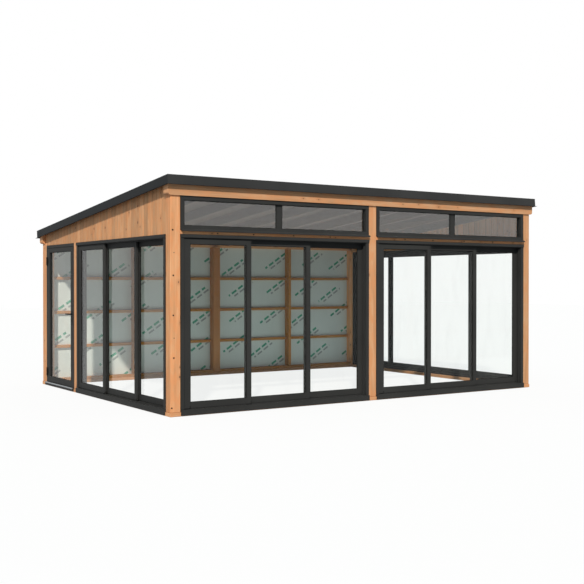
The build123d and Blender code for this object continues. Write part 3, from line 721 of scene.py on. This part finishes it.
def make_board_run():
    """Boards side by side along X with V joints in front (-Y), cut to a sloping line above."""
    kit, taken, given = open_group(
        "board_run", "GeometryNodeTree",
        [
            ("Geometry", GEOMETRY), ("Boards", INTEGER), ("Seed", INTEGER), ("Material", MATERIAL),
            *floats("Cover", "Thickness", "Joint", "Low", "High", "High Rise"),
        ],
        [("Geometry", GEOMETRY)],
    )
    cover = taken["Cover"]
    half = kit.times(cover, BOARD_HALF)
    size = kit.joined(kit.times(half, 2.0), taken["Thickness"], 1.0)
    board = kit.made(
        "GeometryNodeMeshCube", {"Size": size, "Vertices X": 4, "Vertices Y": 2, "Vertices Z": 2},
    )
    x, y, z = kit.parts(kit.made("GeometryNodeInputPosition"))
    outer = kit.math("GREATER_THAN", kit.math("ABSOLUTE", x), kit.times(half, BOARD_OUTER))
    inset = kit.times(kit.math("SUBTRACT", 1.0, outer), taken["Joint"])
    new_x = kit.times(kit.math("SIGN", x), kit.math("SUBTRACT", half, inset))
    in_front = kit.times(kit.math("LESS_THAN", y, 0.0), outer)
    new_y = kit.math("ADD", y, kit.times(in_front, taken["Joint"]))
    edged = kit.made(
        "GeometryNodeStoreNamedAttribute", {"Geometry": board, "Name": "edge", "Value": outer},
        data_type="FLOAT", domain="POINT",
    )
    shaped = kit.made(
        "GeometryNodeSetPosition",
        {"Geometry": edged, "Position": kit.joined(new_x, new_y, kit.math("ADD", z, 0.5))},
    )
    line = kit.made(
        "GeometryNodeMeshLine",
        {
            "Count": taken["Boards"],
            "Start Location": kit.joined(kit.times(cover, 0.5), 0.0, 0.0),
            "Offset": kit.joined(cover, 0.0, 0.0),
        },
    )
    spread = kit.made("GeometryNodeInstanceOnPoints", {"Points": line, "Instance": shaped})
    draw = kit.node("FunctionNodeRandomValue", {"Seed": taken["Seed"]}, data_type="FLOAT")
    toned = kit.made(
        "GeometryNodeStoreNamedAttribute",
        {"Geometry": spread, "Name": "board", "Value": draw.outputs[1]},
        data_type="FLOAT", domain="INSTANCE",
    )
    solid = kit.made("GeometryNodeRealizeInstances", {"Geometry": toned})
    x, y, share = kit.parts(kit.made("GeometryNodeInputPosition"))
    low = taken["Low"]
    high = kit.math("ADD", taken["High"], kit.times(x, taken["High Rise"]))
    level = kit.math("ADD", low, kit.times(share, kit.math("SUBTRACT", high, low)))
    cut = kit.made(
        "GeometryNodeSetPosition", {"Geometry": solid, "Position": kit.joined(x, y, level)},
    )
    return finish_tree(kit, taken, given, cut)


HEAD_CORNERS = 12
DRIVE_SHARE = 0.5
DRIVE_SINK = -0.45


def make_fixing_heads():
    """A round head with a sunk drive on each point it is given, facing -Y."""
    kit, taken, given = open_group(
        "fixing_heads", "GeometryNodeTree",
        [("Geometry", GEOMETRY), ("Material", MATERIAL), *floats("Radius", "Depth")],
        [("Geometry", GEOMETRY)],
    )
    head = kit.node(
        "GeometryNodeMeshCylinder",
        {"Vertices": HEAD_CORNERS, "Radius": taken["Radius"], "Depth": taken["Depth"]},
    ).outputs
    rim = kit.node(
        "GeometryNodeExtrudeMesh",
        {"Mesh": head["Mesh"], "Selection": head["Top"], "Offset Scale": 0.0},
    ).outputs
    drive = kit.made(
        "GeometryNodeScaleElements",
        {"Geometry": rim["Mesh"], "Selection": rim["Top"], "Scale": DRIVE_SHARE},
    )
    sink = kit.times(taken["Depth"], DRIVE_SINK)
    sunk = kit.made(
        "GeometryNodeExtrudeMesh", {"Mesh": drive, "Selection": rim["Top"], "Offset Scale": sink},
    )
    turned = kit.made(
        "GeometryNodeTransform", {"Geometry": sunk, "Rotation": (QUARTER_TURN, 0.0, 0.0)},
    )
    spread = kit.made(
        "GeometryNodeInstanceOnPoints", {"Points": taken["Geometry"], "Instance": turned},
    )
    solid = kit.made("GeometryNodeRealizeInstances", {"Geometry": spread})
    return finish_tree(kit, taken, given, solid)


board_run = make_board_run()
fixing_heads = make_fixing_heads()


def lay_boards(count, span, thickness, joint, levels, finish, stand, high_rise=0.0):
    """A run of boards over a span, between two levels, with its seed and its material."""
    values = {
        "Boards": count, "Cover": span / count, "Thickness": thickness, "Joint": joint,
        "Low": levels[0], "High": levels[1], "High Rise": high_rise,
        "Seed": finish[0], "Material": finish[1],
    }
    return mesh_from_tree(board_run, values, stand)


def wall_stand(face, x, y):
    """Stands a run made along X, facing -Y, on the named face of the pod."""
    turns = {"front": 0.0, "right": 90.0, "back": 180.0, "left": -90.0}
    turn = Matrix.Rotation(math.radians(turns[face]), 4, "Z")
    return Matrix.Translation((x, y, 0.0)) @ turn


# Roof slope, read from the gable's own outline
gable_mesh = frame["nodes"]["gable_cladding"].data
gable_low, gable_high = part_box("gable_cladding")
gable_back = gable_high.y - SAME_EDGE
gable_back_top = max(vert.co.z for vert in gable_mesh.vertices if vert.co.y > gable_back)
roof_slope = (gable_high.z - gable_back_top) / (gable_high.y - gable_low.y)


def under_roof(y):
    return gable_high.z - (y - gable_low.y) * roof_slope


# Wall cladding: upright boards on both gables and on the back
BOARD_COVER = 0.121
BOARD_JOINT = 0.0065
GABLE_THICKNESS = 0.022
GABLE_SEED, BACK_SEED = 11, 29


def board_gable(face):
    """One gable: boards between the posts, and short ones over the posts' tops."""
    on_left = face == "left"
    toward = -1.0 if on_left else 1.0
    outside = gable_low.x if on_left else gable_high.x
    middle = outside - toward * GABLE_THICKNESS / 2
    stretches = (
        (front_inside, back_inside, gable_low.z),
        (gable_low.y, front_inside, front_post_top),
        (back_inside, gable_high.y, back_post_top),
    )
    runs = []
    for number, (start, end, low) in enumerate(stretches):
        first = end if on_left else start
        runs.append(lay_boards(
            max(1, round((end - start) / BOARD_COVER)), end - start, GABLE_THICKNESS, BOARD_JOINT,
            (low, under_roof(first)), (GABLE_SEED + number, upright_boards),
            wall_stand(face, middle, first), -roof_slope * toward,
        ))
    return runs


gable_boards = joined_mesh(board_gable("left") + board_gable("right"))
place_piece("gable_boards", gable_boards, "pod", ["gable_cladding"])

cladding_low, cladding_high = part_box("back_cladding")
back_span = cladding_high.x - cladding_low.x
back_count = round(back_span / BOARD_COVER)
back_boards = lay_boards(
    back_count, back_span, cladding_high.y - cladding_low.y, BOARD_JOINT,
    (cladding_low.z, cladding_high.z), (BACK_SEED, upright_boards),
    wall_stand("back", cladding_high.x, (cladding_low.y + cladding_high.y) / 2),
)
place_piece("back_boards", back_boards, "pod", ["back_cladding"])


# The roof: boards side by side down the slope, joints facing down, and the skin's lapped seams
slope_angle = math.atan(roof_slope)
down_slope = Vector((0.0, math.cos(slope_angle), -math.sin(slope_angle)))
off_roof = Vector((0.0, math.sin(slope_angle), math.cos(slope_angle)))


def roof_reach(name):
    """How far a roof layer goes down the slope and off it, lowest and highest."""
    places = [vert.co for vert in frame["nodes"][name].data.vertices]
    runs = [place.dot(down_slope) for place in places]
    lifts = [place.dot(off_roof) for place in places]
    return (min(runs), max(runs)), (min(lifts), max(lifts))


def roof_place(x, run, lift):
    return Vector((x, 0.0, 0.0)) + down_slope * run + off_roof * lift


ROOF_BOARD_COVER = 0.14
ROOF_BOARD_JOINT = 0.0016
ROOF_SEED = 41
deck_low, deck_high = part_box("roof_deck")
deck_run, deck_lift = roof_reach("roof_deck")
deck_span = deck_run[1] - deck_run[0]
deck_stand = Matrix((down_slope, off_roof, (1.0, 0.0, 0.0))).transposed().to_4x4()
deck_stand.translation = roof_place(deck_low.x, deck_run[0], sum(deck_lift) / 2)
deck_boards = lay_boards(
    round(deck_span / ROOF_BOARD_COVER), deck_span, deck_lift[1] - deck_lift[0], ROOF_BOARD_JOINT,
    (0.0, deck_high.x - deck_low.x), (ROOF_SEED, roof_boards), deck_stand,
)
place_piece("roof_deck_boards", deck_boards, "pod", ["roof_deck"])

LAP_PLACES = (-0.97, 0.97)
LAP_HALF_WIDTH = 0.045
LAP_CHAMFER = 0.006
LAP_RISE = 0.0028
LAP_SINK = 0.0004
LAP_END = 0.02
LAP_STEPS = 40
LAP_SWAYS = ((0.0025, 9.0, 5.0), (0.0012, 31.0, 0.0))


def lap_roof_skin():
    """Seams where one width of roof skin lies over the next, slightly wavy along one edge."""
    skin_run, skin_lift = roof_reach("roof_covering")
    start, end = skin_run[0] + LAP_END, skin_run[1] - LAP_END
    bm = bmesh.new()
    for place in LAP_PLACES:
        rings = []
        for step in range(LAP_STEPS + 1):
            share = step / LAP_STEPS
            run = start + share * (end - start)
            edge = LAP_HALF_WIDTH + sum(
                far * math.sin(often * share + late * place) for far, often, late in LAP_SWAYS
            )
            outline = (
                (-LAP_HALF_WIDTH, -LAP_SINK), (edge, -LAP_SINK),
                (edge - LAP_CHAMFER, LAP_RISE), (LAP_CHAMFER - LAP_HALF_WIDTH, LAP_RISE),
            )
            rings.append([
                bm.verts.new(roof_place(place + x, run, skin_lift[1] + lift)) for x, lift in outline
            ])
        close_rings(bm, rings)
    return finished_mesh(bm, roof_skin)


place_piece("roof_laps", lap_roof_skin(), "pod")


# Glazing beads: a rubber strip in the corner between each pane and its frame, on both sides
BEAD_OUTLINE = ((0.0, 0.0), (0.0062, 0.0), (0.0062, 0.0014), (0.0036, 0.0056), (0.0, 0.0068))


def add_ring(bm, low, high, thin, side, outline):
    """One mitred ring of the given outline round an upright opening, on one side of it."""
    wide = 1 - thin
    face = high[thin] if side > 0 else low[thin]
    rings = []
    for inset, lift in outline:
        ring = []
        for across, up in ((0, 0), (1, 0), (1, 1), (0, 1)):
            place = Vector((0.0, 0.0, high.z - inset if up else low.z + inset))
            place[thin] = face + side * lift
            place[wide] = high[wide] - inset if across else low[wide] + inset
            ring.append(bm.verts.new(place))
        rings.append(ring)
    for ring, following in zip(rings, rings[1:] + rings[:1]):
        bridge_rings(bm, ring, following)


def bead_panes(name, body, glass_nodes):
    bm = bmesh.new()
    for node in glass_nodes:
        for low, high in solid_boxes(node):
            for side in (1, -1):
                add_ring(bm, low, high, thin_axis(low, high), side, BEAD_OUTLINE)
    place_piece(name, finished_mesh(bm, gasket_rubber), body)


bodies = frame["record"]["behaviour"]["bodies"]
bead_panes("clerestory_beads", "pod", ["clerestory_glass"])
bead_panes("fixed_beads", "pod", ["fixed_glass"])
for body, nodes in bodies.items():
    panes = [node for node in nodes if node.endswith("_glass")]
    if body != "pod" and panes:
        bead_panes(body + "_beads", body, panes)


# Liners: a metal ring behind each clerestory frame, against the posts, the beam and the rail
LINER_OUTLINE = ((0.0, 0.0), (0.01, 0.0), (0.01, 0.05), (0.0075, 0.056), (0.0, 0.056))
LINER_CLEAR = 0.0003


def line_clerestories():
    bm = bmesh.new()
    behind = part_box("clerestory_frames")[1].y + LINER_CLEAR
    for rail_low, rail_high in solid_boxes("transom_rails"):
        low = Vector((rail_low.x + LINER_CLEAR, behind, rail_high.z + LINER_CLEAR))
        high = Vector((rail_high.x - LINER_CLEAR, behind, front_post_top - LINER_CLEAR))
        add_ring(bm, low, high, 1, 1, LINER_OUTLINE)
    return finished_mesh(bm, frame_coat)


place_piece("clerestory_liners", line_clerestories(), "pod")


# Brush seals: two strips of pile under each sliding leaf, either side of its rib
BRUSH_INSET = 0.0065
BRUSH_WIDTH = 0.003
BRUSH_REACH = 0.0048
BRUSH_ROOT = 0.007
BRUSH_END = 0.004
TUFT_PITCH = 0.05
TUFT_NOTCH = 0.0006


def add_brush(bm, low, high, offset):
    """One strip of pile along a leaf's foot, its lower edge in shallow tufts."""
    thin = thin_axis(low, high)
    wide = 1 - thin
    middle = (low[thin] + high[thin]) / 2 + offset
    start, end = low[wide] + BRUSH_END, high[wide] - BRUSH_END
    steps = 2 * max(2, round((end - start) / TUFT_PITCH))
    root = low.z + BRUSH_ROOT
    rings = []
    for step in range(steps + 1):
        foot = low.z - BRUSH_REACH + (TUFT_NOTCH if step % 2 else 0.0)
        ring = []
        for across, level in ((-1, foot), (1, foot), (1, root), (-1, root)):
            place = Vector((0.0, 0.0, level))
            place[thin] = middle + across * BRUSH_WIDTH / 2
            place[wide] = start + (end - start) * step / steps
            ring.append(bm.verts.new(place))
        rings.append(ring)
    close_rings(bm, rings)


def brush_leaves(name, body, leaves):
    bm = bmesh.new()
    for low, high in leaves:
        for side in (-1, 1):
            add_brush(bm, low, high, side * BRUSH_INSET)
    place_piece(name, finished_mesh(bm, pile_seal), body)


for body, nodes in bodies.items():
    if body.endswith("_leaf"):
        leaves = [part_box(node) for node in nodes if node.endswith("_sash")]
        brush_leaves(body + "_brushes", body, leaves)
brush_leaves("fixed_brushes", "pod", solid_boxes("fixed_sashes"))


# Black end caps at the foot of each free stile end
CAP_FOOT, CAP_TOP = 0.006, 0.026
CAP_PROUD = 0.0035
CAP_ROOT = 0.012
CAP_MARGIN = 0.0015
CAP_CHAMFER = 0.002
DOOR_LEAF_HEIGHT = 1.0


def add_end_cap(bm, low, high, side):
    """A block with chamfered edges round the foot of the stile at one end of a leaf."""
    thin = thin_axis(low, high)
    wide = 1 - thin
    block_low, block_high = low.copy(), high.copy()
    block_low[thin] -= CAP_MARGIN
    block_high[thin] += CAP_MARGIN
    end = high[wide] if side > 0 else low[wide]
    block_low[wide], block_high[wide] = sorted((end + side * CAP_PROUD, end - side * CAP_ROOT))
    block_low.z = low.z + CAP_FOOT
    block_high.z = low.z + CAP_TOP
    size = Matrix.Diagonal((*(block_high - block_low), 1.0))
    place = Matrix.Translation((block_low + block_high) / 2) @ size
    made = bmesh.ops.create_cube(bm, size=1.0, matrix=place)["verts"]
    edges = list(dict.fromkeys(edge for vert in made for edge in vert.link_edges))
    bmesh.ops.bevel(bm, geom=edges, offset=CAP_CHAMFER, segments=2, affect="EDGES", profile=0.5)


FREE_ENDS = {"front_left_middle": 1, "front_right_middle": 1, "left_middle": -1}
for leaf, side in FREE_ENDS.items():
    bm = bmesh.new()
    add_end_cap(bm, *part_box(leaf + "_sash"), side)
    name = leaf + "_end_cap"
    place_piece(name, finished_mesh(bm, gasket_rubber), leaf + "_leaf")
bm = bmesh.new()
for low, high in solid_boxes("fixed_sashes"):
    if high.z - low.z > DOOR_LEAF_HEIGHT:
        on_front = thin_axis(low, high) == 1
        on_left = low.x < 0.0
        in_back = (low.y + high.y) / 2 > 0.0
        add_end_cap(bm, low, high, 1 if on_front or not (on_left or in_back) else -1)
place_piece("fixed_end_caps", finished_mesh(bm, gasket_rubber), "pod")


# Pale metal nosing along the side door's threshold
NOSING_OUTLINE = (
    (-0.0016, -0.0125), (-0.0016, -0.0008), (-0.0006, 0.0014), (0.0022, 0.0014), (0.003, 0.0022),
    (0.0048, 0.0022), (0.0056, 0.0014), (0.0078, 0.0014), (0.0086, 0.0022), (0.0104, 0.0022),
    (0.0112, 0.0014), (0.0135, 0.0014), (0.0135, -0.0006), (0.0006, -0.0006), (0.0006, -0.0125),
)
NOSING_END = 0.003


def nose_threshold():
    """A ribbed strip hooked over the outer top edge of the threshold."""
    low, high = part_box("door_threshold")
    bm = bmesh.new()
    close_rings(bm, [
        [bm.verts.new((low.x + x, y, high.z + z)) for x, z in NOSING_OUTLINE]
        for y in (low.y + NOSING_END, high.y - NOSING_END)
    ])
    return finished_mesh(bm, nosing_metal)


place_piece("threshold_nosing", nose_threshold(), "pod")


# Plugs, nails and screws: their heads, sunk into the faces they hold
def drive_heads(face, places, radius, depth, material):
    """One head at each place on the named face."""
    turn = wall_stand(face, 0.0, 0.0)
    values = {"Radius": radius, "Depth": depth, "Material": material}
    points = [turn.inverted() @ Vector(place) for place in places]
    return mesh_from_tree(fixing_heads, values, turn, points)


PLUG_RADIUS = 0.0098
PEG_RADIUS = 0.0055
TRANSOM_PLUG_RADIUS = 0.0085
PLUG_DEPTH = 0.003
CORNER_PLUGS = ((0.028, 2.095), (0.034, 1.585), (0.034, 1.138), (0.04, 0.661), (0.014, 0.1))
CORNER_PEGS = ((0.043, 1.84), (0.043, 0.883))
TRANSOM_PLUGS = (0.474, 0.956, 1.52, 2.06)
TRANSOM_PLUG_RISE = 0.019


def on_corner_post(places):
    return [(left_face + inset, front_face, level) for inset, level in places]


transom_places = [
    (low.x + step, low.y, low.z + TRANSOM_PLUG_RISE)
    for low, high in solid_boxes("transom_rails") for step in TRANSOM_PLUGS
]
plug_meshes = [
    drive_heads("front", places, radius, PLUG_DEPTH, plug_metal) for places, radius in (
        (on_corner_post(CORNER_PLUGS), PLUG_RADIUS), (on_corner_post(CORNER_PEGS), PEG_RADIUS),
        (transom_places, TRANSOM_PLUG_RADIUS),
    )
]
place_piece("post_plugs", joined_mesh(plug_meshes), "pod")

NAIL_RADIUS = 0.0028
NAIL_DEPTH = 0.0016
NAIL_EDGE = 0.027
NAIL_MARGIN = 0.035
BACK_NAIL_ROWS = 5


def nail_pairs(count, start, span):
    """Two places across each board of a run."""
    cover = span / count
    middles = [start + (number + 0.5) * cover for number in range(count)]
    offset = cover / 2 - NAIL_EDGE
    return [middle + side for middle in middles for side in (-offset, offset)]


gable_span = back_inside - front_inside
gable_nails = nail_pairs(round(gable_span / BOARD_COVER), front_inside, gable_span)
nail_meshes = []
for face, x in (("left", gable_low.x), ("right", gable_high.x)):
    nail_places = []
    for y in gable_nails:
        nail_places += [(x, y, gable_low.z + NAIL_MARGIN), (x, y, under_roof(y) - 2 * NAIL_MARGIN)]
    nail_meshes.append(drive_heads(face, nail_places, NAIL_RADIUS, NAIL_DEPTH, nail_metal))
nail_rise = (cladding_high.z - cladding_low.z - 2 * NAIL_MARGIN) / (BACK_NAIL_ROWS - 1)
nail_places = [
    (x, cladding_high.y, cladding_low.z + NAIL_MARGIN + row * nail_rise)
    for x in nail_pairs(back_count, cladding_low.x, back_span) for row in range(BACK_NAIL_ROWS)
]
nail_meshes.append(drive_heads("back", nail_places, NAIL_RADIUS, NAIL_DEPTH, nail_metal))
place_piece("board_nails", joined_mesh(nail_meshes), "pod")

PLATE_SCREW_RADIUS = 0.0036
PLATE_SCREW_END = 0.011
plates_low, plates_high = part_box("handle_plates")
plate_middle = (plates_low.y + plates_high.y) / 2
screw_levels = (plates_low.z + PLATE_SCREW_END, plates_high.z - PLATE_SCREW_END)
screw_meshes = []
for face, x in (("left", plates_low.x), ("right", plates_high.x)):
    screw_places = [(x, plate_middle, level) for level in screw_levels]
    screw_meshes.append(drive_heads(face, screw_places, PLATE_SCREW_RADIUS, NAIL_DEPTH, nail_metal))
place_piece("handle_screws", joined_mesh(screw_meshes), "hinged_door")


# --- Stage ------------------------------------------------

WHITE = (1.0, 1.0, 1.0)
FLOOR_REACH = 45.0
FLOOR_DROP = 0.0005
FLOOR_BOUNCED = (0.27, 0.27, 0.27)
FLOOR_SEEN = (0.9, 0.9, 0.9)
FLOOR_GLOW, FLOOR_ROUGH = 0.86, 0.95
SKY_COLOUR, SKY_STRENGTH = (0.77, 0.92, 1.0), 0.49
SUN_FROM_LEFT, SUN_HEIGHT, SUN_SPREAD = math.radians(34.5), math.radians(37.0), math.radians(2.0)
SUN_COLOUR, SUN_ENERGY = (1.0, 0.935, 0.84), 3.35
ROOM_SIZE, ROOM_LEVEL = (5.2, 3.6), 0.03
ROOM_COLOUR, ROOM_ENERGY = (0.78, 1.0, 0.95), 38.0
EYE_LEFT, EYE_FRONT, EYE_LEVEL = 4.768, 9.744, 1.5
EYE_DIP, EYE_TURN = math.radians(0.534), math.radians(-33.25)
EYE_LENS, EYE_SENSOR, EYE_REACH = 59.49, 36.0, 200.0


def seen_rays(kit):
    """One for the rays that show the surroundings, nothing for those that light the pod."""
    path = kit.node("ShaderNodeLightPath").outputs
    seen = kit.math("MAXIMUM", path["Is Camera Ray"], path["Is Glossy Ray"])
    return kit.math("MAXIMUM", seen, path["Is Transmission Ray"])


def make_floor():
    far = FLOOR_REACH
    corners = [(x, y, -FLOOR_DROP) for x, y in ((-far, -far), (far, -far), (far, far), (-far, far))]
    mesh = bpy.data.meshes.new("floor")
    mesh.from_pydata(corners, [], [(0, 1, 2, 3)])
    material, kit, _ = open_finish("pale_floor")
    seen = seen_rays(kit)
    shade = kit.mix(seen, FLOOR_BOUNCED, FLOOR_SEEN)
    kit.finish(shade, FLOOR_ROUGH, gloss=0.0)
    white = kit.made("ShaderNodeEmission", {"Color": WHITE, "Strength": 1.0})
    glow = kit.times(seen, FLOOR_GLOW)
    blend = kit.made("ShaderNodeMixShader", {0: glow, 1: kit.shader.outputs[0], 2: white})
    kit.feed(material.node_tree.nodes["Material Output"].inputs["Surface"], blend)
    mesh.materials.append(material)
    floor = put_in_scene("floor", mesh)
    floor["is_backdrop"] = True


def make_sky():
    world = bpy.data.worlds.new("studio")
    world.use_nodes = True
    world.node_tree.nodes.clear()
    kit = Kit(world.node_tree)
    soft, white = (
        kit.made("ShaderNodeBackground", {"Color": colour, "Strength": strength})
        for colour, strength in ((SKY_COLOUR, SKY_STRENGTH), (WHITE, 1.0))
    )
    blend = kit.made("ShaderNodeMixShader", {0: seen_rays(kit), 1: soft, 2: white})
    kit.node("ShaderNodeOutputWorld", {"Surface": blend})
    bpy.context.scene.world = world


def make_key_light():
    sun = bpy.data.lights.new("key", "SUN")
    sun.energy = SUN_ENERGY
    sun.angle = SUN_SPREAD
    sun.color = SUN_COLOUR
    level = math.cos(SUN_HEIGHT)
    away = Vector((
        math.sin(SUN_FROM_LEFT) * level, math.cos(SUN_FROM_LEFT) * level, -math.sin(SUN_HEIGHT),
    ))
    put_in_scene("key", sun).rotation_euler = away.to_track_quat("-Z", "Y").to_euler()


def make_room_light():
    """A soft light low in the room, for the inside of the back wall."""
    soft = bpy.data.lights.new("room", "AREA")
    soft.shape = "RECTANGLE"
    soft.size, soft.size_y = ROOM_SIZE
    soft.energy = ROOM_ENERGY
    soft.color = ROOM_COLOUR
    lamp = put_in_scene("room", soft)
    lamp.location = (0.0, 0.0, ROOM_LEVEL)
    lamp.rotation_euler = (math.pi, 0.0, 0.0)
    lamp.visible_camera = lamp.visible_glossy = lamp.visible_transmission = False


def make_camera():
    camera = bpy.data.cameras.new("camera")
    camera.sensor_width = EYE_SENSOR
    camera.lens = EYE_LENS
    camera.clip_end = EYE_REACH
    eye = put_in_scene("camera", camera)
    eye.location = (left_face - EYE_LEFT, front_face - EYE_FRONT, EYE_LEVEL)
    eye.rotation_euler = (QUARTER_TURN - EYE_DIP, 0.0, EYE_TURN)
    bpy.context.scene.camera = eye


make_floor()
make_sky()
make_key_light()
make_room_light()
make_camera()
bpy.context.scene.view_settings.view_transform = "Standard"

low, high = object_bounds()
